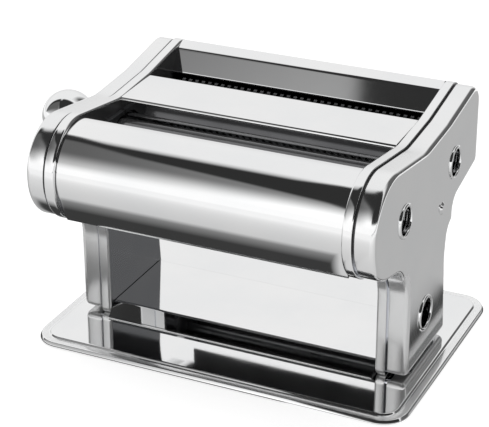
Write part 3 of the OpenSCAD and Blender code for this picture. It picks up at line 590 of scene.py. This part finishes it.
channel = {"front": -29.5, "slope": 9.0, "rear": 25.4, "top": 10.9, "low": 3.6, "flange": 8.0, "sheet": 1.0,
           "fold": 1.8, "foot": 0.3, "short": 0.35}
c = channel
foot = c["front"] - c["slope"]
channelPath = roundedPath([(foot + c["flange"], c["low"], 0), (foot, c["low"], c["foot"]),
                           (c["front"], c["top"], c["fold"]), (c["rear"], c["top"], c["fold"]),
                           (c["rear"], c["low"], c["foot"]), (c["rear"] - c["flange"], c["low"], 0)], 8.0)
half = xIn - c["short"]
standsFor(bentSheet("channelSheet", channelPath, -c["sheet"], -half, half, [baseSteel, shadedInsideSteel]),
          "cross_channel")
print("base and channel ready")

# Turned pieces
knob = {"dome": 14.5, "neck": 10.5, "domeX": -110.6, "inside": -96.8, "bore": 9.0, "boreEnd": -111.6,
        "rimWidth": 0.5, "rimRound": 0.4, "domeSteps": 60}


def knobPiece():
    k = knob
    join = math.degrees(math.asin(k["neck"] / k["dome"]))
    t = np.radians(np.linspace(0, 180 - join, k["domeSteps"]))
    dome = [(k["domeX"] - k["dome"] * math.cos(a), k["dome"] * math.sin(a)) for a in t]
    neck = [(k["inside"] - k["rimWidth"], k["neck"]), (k["inside"], k["neck"] - k["rimRound"]),
            (k["inside"], k["bore"]), (k["boreEnd"], k["bore"]), (k["boreEnd"], 0.0)]
    piece = turned("knobDome", dome + neck, knobAxis, [mirrorSteel], closed=False)
    standsFor(piece, "knob", "knob")


knobPiece()


ringBead = {"socket": 7.25, "foot": 8.0, "bead": 1.0, "steps": 12, "wall": 0.8, "depth": 2, "count": 64}


# A half-round bead on the cover's face goes round each opening, and a short wall follows it inwards.
def holeRings():
    g = ringBead
    t = np.radians(np.linspace(0, 180, g["steps"] + 1))
    rings = []
    for centre, radius in ((frontAxis, g["socket"]), (cutterAxis, g["socket"]), (locatingHole, g["foot"])):
        bead = [(xOut + g["bead"] * math.sin(a), radius + g["bead"] - g["bead"] * math.cos(a)) for a in t]
        wall = [(xOut, radius + g["wall"]), (xOut - g["depth"], radius + g["wall"]), (xOut - g["depth"], radius)]
        rings.append((centre, bead + wall))
    points, faces, count = [], [], g["count"]
    angles = np.linspace(0, 2 * math.pi, count, endpoint=False)
    start = 0
    for centre, ring in rings:
        ring = np.array(ring)
        x, r = np.repeat(ring[:, 0], count), np.repeat(ring[:, 1], count)
        a = np.tile(angles, len(ring))
        points.append(np.column_stack([x, centre[0] + r * np.cos(a), centre[1] + r * np.sin(a)]))
        for k in range(len(ring)):
            faces += list(ringFaces(start + k * count, start + (k + 1) % len(ring) * count, count))
        start += len(ring) * count
    standsFor(meshPiece("rolledHoleRings", np.vstack(points), faces, [mirrorSteel]), "hole_rings")


holeRings()
print("turned pieces ready")

# Finishes of the carried-over nodes
finishes = {
    "front_roller": shadedRollerSteel, "rear_roller": shadedRollerSteel, "front_cutter": shadedCutterSteel, "rear_cutter": shadedCutterSteel,
    "roller_bushes": bearingBrass, "cutter_bushes": bearingBrass, "dough_guides": guidePlastic,
    "rubber_feet": footRubber, "dial_plate": mirrorSteel, "cover_screws": mirrorSteel,
    "base_plate": baseSteel, "cross_channel": baseSteel,
    "left_inner_frame": mirrorSteel, "right_inner_frame": mirrorSteel,
    "left_outer_cover": sideSteel, "right_outer_cover": sideSteel, "front_cover": mirrorSteel, "tray": mirrorSteel,
    "rear_cover": mirrorSteel, "knob": mirrorSteel, "hole_rings": mirrorSteel,
}
for name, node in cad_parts.items():
    finish = finishes.get(name, machinedSteel)
    if node.material_slots:
        for slot in node.material_slots:
            slot.material = finish
    else:
        node.data.materials.append(finish)
print("finishes given to", len(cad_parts), "nodes")

# Studio
# What metal sees of the room, as plain walls with soft edges. Angles go about the X axis: 0 is level to the rear,
# 90 straight up and 180 level to the front. Levels are brightness, 1 for white paper. Sideways is how far a ray
# goes along X, from -1 on the left to 1 on the right. The ceiling is dim, and dimmer on the left. A dark flag hangs
# over the front; its corners are (sideways, angle). The wall on the right is dark.
studio = {
    "low": 0.75, "lowFade": (-180.0, -90.0),
    "rearWall": 1.0, "rearFade": (-20.0, 40.0),
    "ceiling": 0.22, "ceilingFade": (82.0, 98.0),
    "frontWall": 1.2, "frontFade": (128.0, 166.0),
    "leftLevel": (0.6, 1.25), "leftSideways": (-0.475, -0.35), "leftFrom": (92.0, 98.0), "leftTo": (156.0, 170.0),
    "flag": 0.033, "flagSoft": 2.5, "flagSideways": (-0.50, -0.20),
    "flagTop": [(-0.475, 86), (-0.46, 95), (-0.36, 94), (-0.335, 87)],
    "flagFoot": [(-0.475, 100), (-0.445, 112), (-0.34, 132), (-0.31, 150), (-0.25, 160)],
    "rightWall": 0.14, "rightSideways": (0.06, 0.30), "rightFade": (55.0, 80.0),
}
# Floor seen by metal: the machine's shade near the base, then paper, by distance in metres from the base in front,
# on the left and on the other two sides. In front on the right the shade is clear.
floorSeen = {
    "box": (-0.0975, 0.1159, -0.0668, 0.0802),
    "front": [(0.0, 0.03), (0.018, 0.03), (0.058, 0.70), (0.5, 1.1)],
    "side": [(0.0, 0.05), (0.006, 0.06), (0.012, 0.45), (0.02, 0.52), (0.40, 0.52), (0.5, 1.1)],
    "left": [(0.0, 0.05), (0.028, 0.05), (0.036, 0.45), (0.05, 0.52), (0.40, 0.52), (0.5, 1.1)],
    "reach": 0.5, "brightest": 1.1, "clearFrom": (0.048, 0.058), "clearBy": 0.07,
}


def buildWorld():
    world = bpy.data.worlds.new("studioWorld")
    bpy.context.scene.world = world
    world.use_nodes = True
    nodes, links = world.node_tree.nodes, world.node_tree.links
    nodes.clear()
    output = nodes.new("ShaderNodeOutputWorld")
    coordinates = nodes.new("ShaderNodeTexCoord")
    parts = nodes.new("ShaderNodeSeparateXYZ")
    links.new(coordinates.outputs["Generated"], parts.inputs["Vector"])
    turn = mathNode(nodes, links, "ARCTAN2", parts.outputs["Z"], parts.outputs["Y"])
    angle = mathNode(nodes, links, "MULTIPLY", turn, 180 / math.pi)
    s, sideways = studio, parts.outputs["X"]

    def fade(value, limits, first, last, smooth=False):
        return rangeNode(nodes, links, value, *limits, first, last, smooth=smooth)

    def flagEdge(corners):
        left, right = s["flagSideways"]
        ramp = rampNode(nodes, [((x - left) / (right - left), a / 180.0) for x, a in corners])
        links.new(fade(sideways, s["flagSideways"], 0.0, 1.0), ramp.inputs["Fac"])
        return mathNode(nodes, links, "MULTIPLY", ramp.outputs["Color"], 180.0)

    room = fade(angle, s["lowFade"], s["frontWall"], s["low"])
    for limits, before, after in (("rearFade", "low", "rearWall"), ("ceilingFade", "rearWall", "ceiling"),
                                  ("frontFade", "ceiling", "frontWall")):
        room = mathNode(nodes, links, "ADD", room, fade(angle, s[limits], 0.0, s[after] - s[before], smooth=True))
    left = fade(sideways, s["leftSideways"], *s["leftLevel"])
    overhead = mathNode(nodes, links, "MULTIPLY", fade(angle, s["leftFrom"], 0.0, 1.0),
                        fade(angle, s["leftTo"], 1.0, 0.0))
    loss = mathNode(nodes, links, "MULTIPLY", mathNode(nodes, links, "SUBTRACT", 1.0, left), overhead)
    wall = mathNode(nodes, links, "MULTIPLY", fade(sideways, s["rightSideways"], 0.0, 1 - s["rightWall"]),
                    fade(angle, s["rightFade"], 1.0, 0.0))
    for shade in (loss, wall):
        room = mathNode(nodes, links, "MULTIPLY", room, mathNode(nodes, links, "SUBTRACT", 1.0, shade))
    soft = s["flagSoft"]
    fromTop = mathNode(nodes, links, "SUBTRACT", angle, flagEdge(s["flagTop"]))
    fromFoot = mathNode(nodes, links, "SUBTRACT", angle, flagEdge(s["flagFoot"]))
    flag = mathNode(nodes, links, "MULTIPLY", fade(fromTop, (-soft, soft), 0.0, 1.0),
                    fade(fromFoot, (-soft, soft), 1.0, 0.0))
    behind = mathNode(nodes, links, "MULTIPLY", room, mathNode(nodes, links, "SUBTRACT", 1.0, flag))
    seen = nodes.new("ShaderNodeBackground")
    seen.inputs["Color"].default_value = (1, 1, 1, 1)
    links.new(mathNode(nodes, links, "ADD", behind, mathNode(nodes, links, "MULTIPLY", flag, s["flag"])),
              seen.inputs["Strength"])
    plain = nodes.new("ShaderNodeBackground")
    plain.inputs["Color"].default_value = (1, 1, 1, 1)
    path = nodes.new("ShaderNodeLightPath")
    mix = nodes.new("ShaderNodeMixShader")
    links.new(path.outputs["Is Camera Ray"], mix.inputs["Fac"])
    links.new(seen.outputs["Background"], mix.inputs[1])
    links.new(plain.outputs["Background"], mix.inputs[2])
    links.new(mix.outputs["Shader"], output.inputs["Surface"])


def buildFloor():
    floor = {"reach": 3.0, "below": 0.0001, "albedo": 0.72, "seenDiffuse": 0.5, "seenGlow": 0.80}
    mesh = bpy.data.meshes.new("studioFloor")
    r, z = floor["reach"], -floor["below"]
    mesh.from_pydata([(-r, -r, z), (r, -r, z), (r, r, z), (-r, r, z)], [], [(0, 1, 2, 3)])
    thing = bpy.data.objects.new("studioFloor", mesh)
    bpy.context.scene.collection.objects.link(thing)
    material = bpy.data.materials.new("floorPaper")
    material.use_nodes = True
    nodes, links = material.node_tree.nodes, material.node_tree.links
    nodes.clear()
    output = nodes.new("ShaderNodeOutputMaterial")
    path = nodes.new("ShaderNodeLightPath")
    paper = nodes.new("ShaderNodeBsdfDiffuse")
    paper.inputs["Color"].default_value = (floor["albedo"],) * 3 + (1,)
    soft = nodes.new("ShaderNodeBsdfDiffuse")
    soft.inputs["Color"].default_value = (floor["seenDiffuse"],) * 3 + (1,)
    glow = nodes.new("ShaderNodeEmission")
    glow.inputs["Strength"].default_value = floor["seenGlow"]
    seen = nodes.new("ShaderNodeAddShader")
    links.new(soft.outputs["BSDF"], seen.inputs[0])
    links.new(glow.outputs["Emission"], seen.inputs[1])
    coordinates = nodes.new("ShaderNodeTexCoord")
    parts = nodes.new("ShaderNodeSeparateXYZ")
    links.new(coordinates.outputs["Object"], parts.inputs["Vector"])
    x0, x1, y0, y1 = floorSeen["box"]
    beyond = {
        "front": mathNode(nodes, links, "SUBTRACT", y0, parts.outputs["Y"]),
        "rear": mathNode(nodes, links, "SUBTRACT", parts.outputs["Y"], y1),
        "left": mathNode(nodes, links, "SUBTRACT", x0, parts.outputs["X"]),
        "right": mathNode(nodes, links, "SUBTRACT", parts.outputs["X"], x1),
    }
    sides = mathNode(nodes, links, "MAXIMUM", beyond["right"], beyond["rear"])
    clear = rangeNode(nodes, links, parts.outputs["X"], *floorSeen["clearFrom"], 0.0, floorSeen["clearBy"])
    front = mathNode(nodes, links, "ADD", beyond["front"], clear)
    levels = []
    for key, distance in (("front", front), ("side", sides), ("left", beyond["left"])):
        ramp = rampNode(nodes, [(d / floorSeen["reach"], v / floorSeen["brightest"]) for d, v in floorSeen[key]])
        links.new(mathNode(nodes, links, "DIVIDE", distance, floorSeen["reach"]), ramp.inputs["Fac"])
        levels.append(ramp.outputs["Color"])
    mirrored = nodes.new("ShaderNodeEmission")
    brightest = mathNode(nodes, links, "MAXIMUM", mathNode(nodes, links, "MAXIMUM", levels[0], levels[1]), levels[2])
    links.new(mathNode(nodes, links, "MULTIPLY", brightest, floorSeen["brightest"]), mirrored.inputs["Strength"])
    glossy = nodes.new("ShaderNodeMixShader")
    links.new(path.outputs["Is Glossy Ray"], glossy.inputs["Fac"])
    links.new(paper.outputs["BSDF"], glossy.inputs[1])
    links.new(mirrored.outputs["Emission"], glossy.inputs[2])
    camera = nodes.new("ShaderNodeMixShader")
    links.new(path.outputs["Is Camera Ray"], camera.inputs["Fac"])
    links.new(glossy.outputs["Shader"], camera.inputs[1])
    links.new(seen.outputs["Shader"], camera.inputs[2])
    links.new(camera.outputs["Shader"], output.inputs["Surface"])
    mesh.materials.append(material)


def buildLamp(name, place, size, watts, aim):
    lamp = bpy.data.lights.new(name, "AREA")
    lamp.shape = "DISK"
    lamp.size = size
    lamp.energy = watts
    thing = bpy.data.objects.new(name, lamp)
    thing.location = place
    thing.rotation_euler = (Vector(aim) - Vector(place)).to_track_quat("-Z", "Y").to_euler()
    thing.visible_glossy = False
    bpy.context.scene.collection.objects.link(thing)


def buildCamera():
    view = {"azimuth": 25.0973, "elevation": 25.4686, "roll": 0.168, "distance": 0.93510,
            "target": (-0.003063, 0.006725, 0.064431), "lens": 127.01}
    a, e, r = (math.radians(view[k]) for k in ("azimuth", "elevation", "roll"))
    back = np.array([math.sin(a) * math.cos(e), -math.cos(a) * math.cos(e), math.sin(e)])
    right = unit(np.cross(-back, [0, 0, 1]))
    down = np.cross(-back, right)
    right, down = math.cos(r) * right + math.sin(r) * down, -math.sin(r) * right + math.cos(r) * down
    camera = bpy.data.objects.new("studioCamera", bpy.data.cameras.new("studioCamera"))
    camera.data.sensor_width = 36.0
    camera.data.lens = view["lens"]
    camera.data.clip_start, camera.data.clip_end = 0.01, 20.0
    turn = Matrix(np.column_stack([right, -down, back]).tolist())
    place = Vector(np.array(view["target"]) + view["distance"] * back)
    camera.matrix_world = Matrix.Translation(place) @ turn.to_4x4()
    bpy.context.scene.collection.objects.link(camera)
    bpy.context.scene.camera = camera


buildWorld()
buildFloor()
buildLamp("overheadSoft", place=(0.1, -0.1, 1.4), size=1.2, watts=6.0, aim=(0, 0, 0))
buildCamera()
bpy.context.scene.view_settings.view_transform = "Standard"
print("studio ready")
